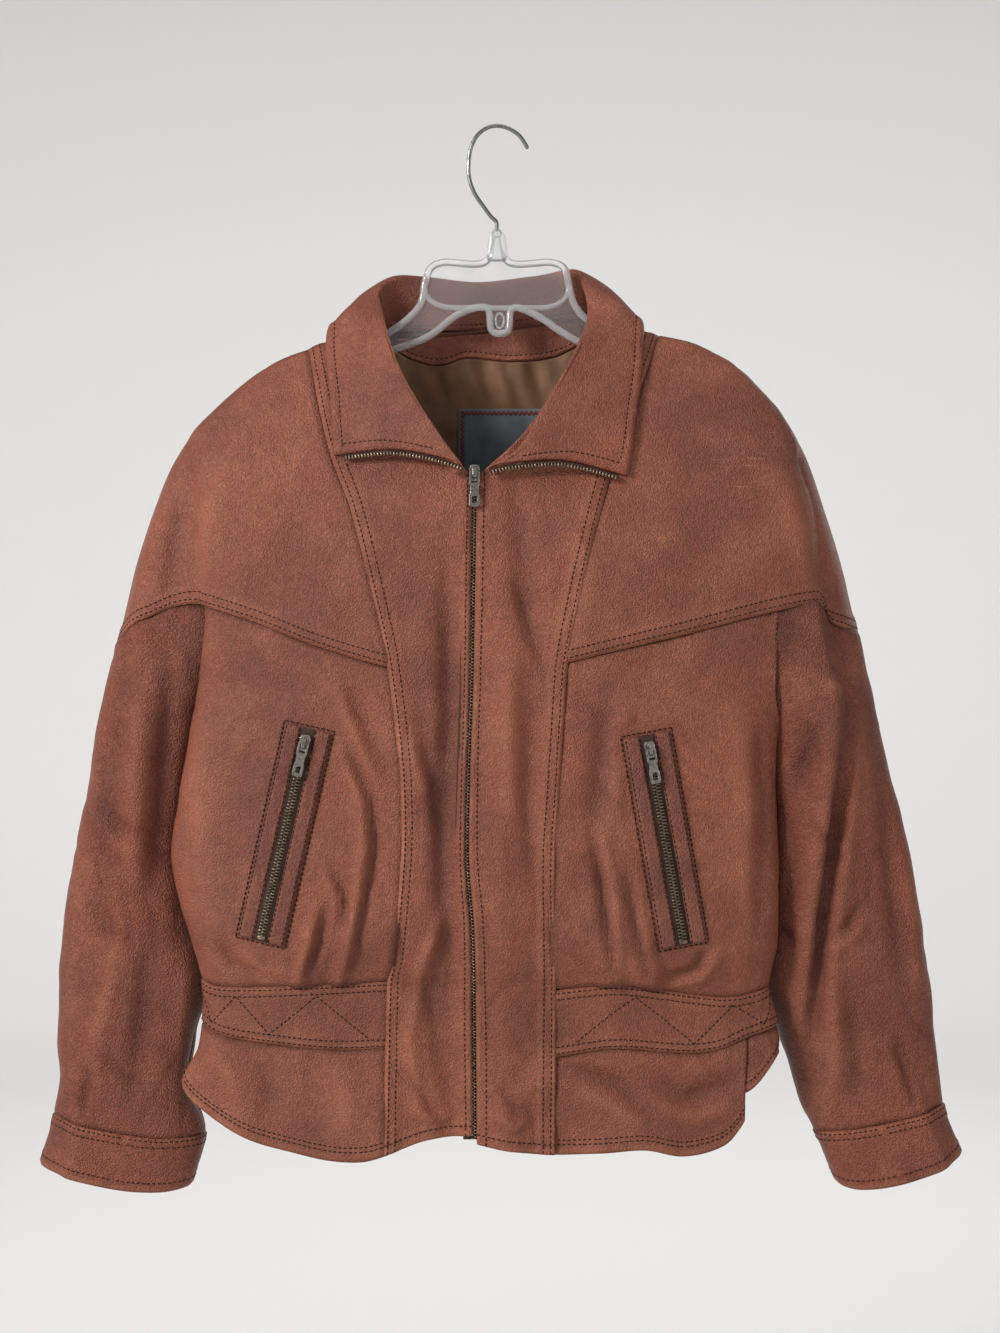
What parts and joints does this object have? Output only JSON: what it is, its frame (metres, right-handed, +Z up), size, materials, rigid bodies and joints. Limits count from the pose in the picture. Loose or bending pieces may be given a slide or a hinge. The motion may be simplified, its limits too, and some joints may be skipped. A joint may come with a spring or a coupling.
{
  "type": "leather jacket on clothes hanger",
  "caption": "Worn zip-front leather jacket with folded collar, slanted zip pockets, pleated waist and flared peplum hem, hanging on a clear hanger with a wire hook.",
  "frame": {"origin": "the inside of the hook's crown, where the hanger hangs from a rail or nail", "axes": "+Z up, -Y out of the front of the jacket, +X to the wearer's left"},
  "size_m": [0.7549, 0.121, 0.8718],
  "materials": {
    "leather": "worn pebbled, low sheen",
    "leather_trim": "worn, low sheen",
    "satin_lining": "satin",
    "label_cloth": "woven, matte",
    "zip_tape": "woven, matte",
    "aged_brass": "aged, dull",
    "clear_plastic": "clear, polished",
    "hook_wire": "bright wire"
  },
  "bodies": {
    "jacket": {"centre_front_right": "leather", "front_yoke_right": "leather", "lower_front_right": "leather", "front_waistband_right": "leather", "front_peplum_right": "leather", "sleeve_front_right": "leather", "sleeve_back_right": "leather", "cuff_right": "leather", "centre_front_left": "leather", "front_yoke_left": "leather", "lower_front_left": "leather", "front_waistband_left": "leather", "front_peplum_left": "leather", "sleeve_front_left": "leather", "sleeve_back_left": "leather", "cuff_left": "leather", "back_yoke": "leather", "back_panel": "leather", "back_waistband": "leather", "back_peplum": "leather", "collar": "leather", "neck_facing": "leather", "pocket_welt_a_right": "leather_trim", "pocket_welt_b_right": "leather_trim", "pocket_welt_a_left": "leather_trim", "pocket_welt_b_left": "leather_trim", "pocket_zip_right": "zip_tape", "pocket_zip_left": "zip_tape", "zip_chain": "aged_brass", "zip_open_right": "aged_brass", "zip_open_left": "aged_brass", "zip_slider_front": "aged_brass", "zip_slider_pocket_right": "aged_brass", "zip_slider_pocket_left": "aged_brass", "back_lining": "satin_lining", "neck_label": "label_cloth", "hanger": "clear_plastic", "hook": "hook_wire"},
    "front_tab": {"zip_tab_front": "aged_brass"},
    "pocket_tab_right": {"zip_tab_pocket_right": "aged_brass"},
    "pocket_tab_left": {"zip_tab_pocket_left": "aged_brass"}
  },
  "joints": [
    {"name": "front_tab_swing", "type": "hinge", "parent": "jacket", "child": "front_tab", "pos_m": [-0.018, -0.05782, -0.28772], "axis": [-1, 0, 0], "range_deg": [0, 150]},
    {"name": "pocket_tab_right_swing", "type": "hinge", "parent": "jacket", "child": "pocket_tab_right", "pos_m": [-0.1523, -0.0655, -0.5015], "axis": [-0.9712, 0.0939, 0.2191], "range_deg": [0, 150]},
    {"name": "pocket_tab_left_swing", "type": "hinge", "parent": "jacket", "child": "pocket_tab_left", "pos_m": [0.12065, -0.06629, -0.50679], "axis": [-0.9815, -0.0808, -0.1734], "range_deg": [0, 150]}
  ]
}
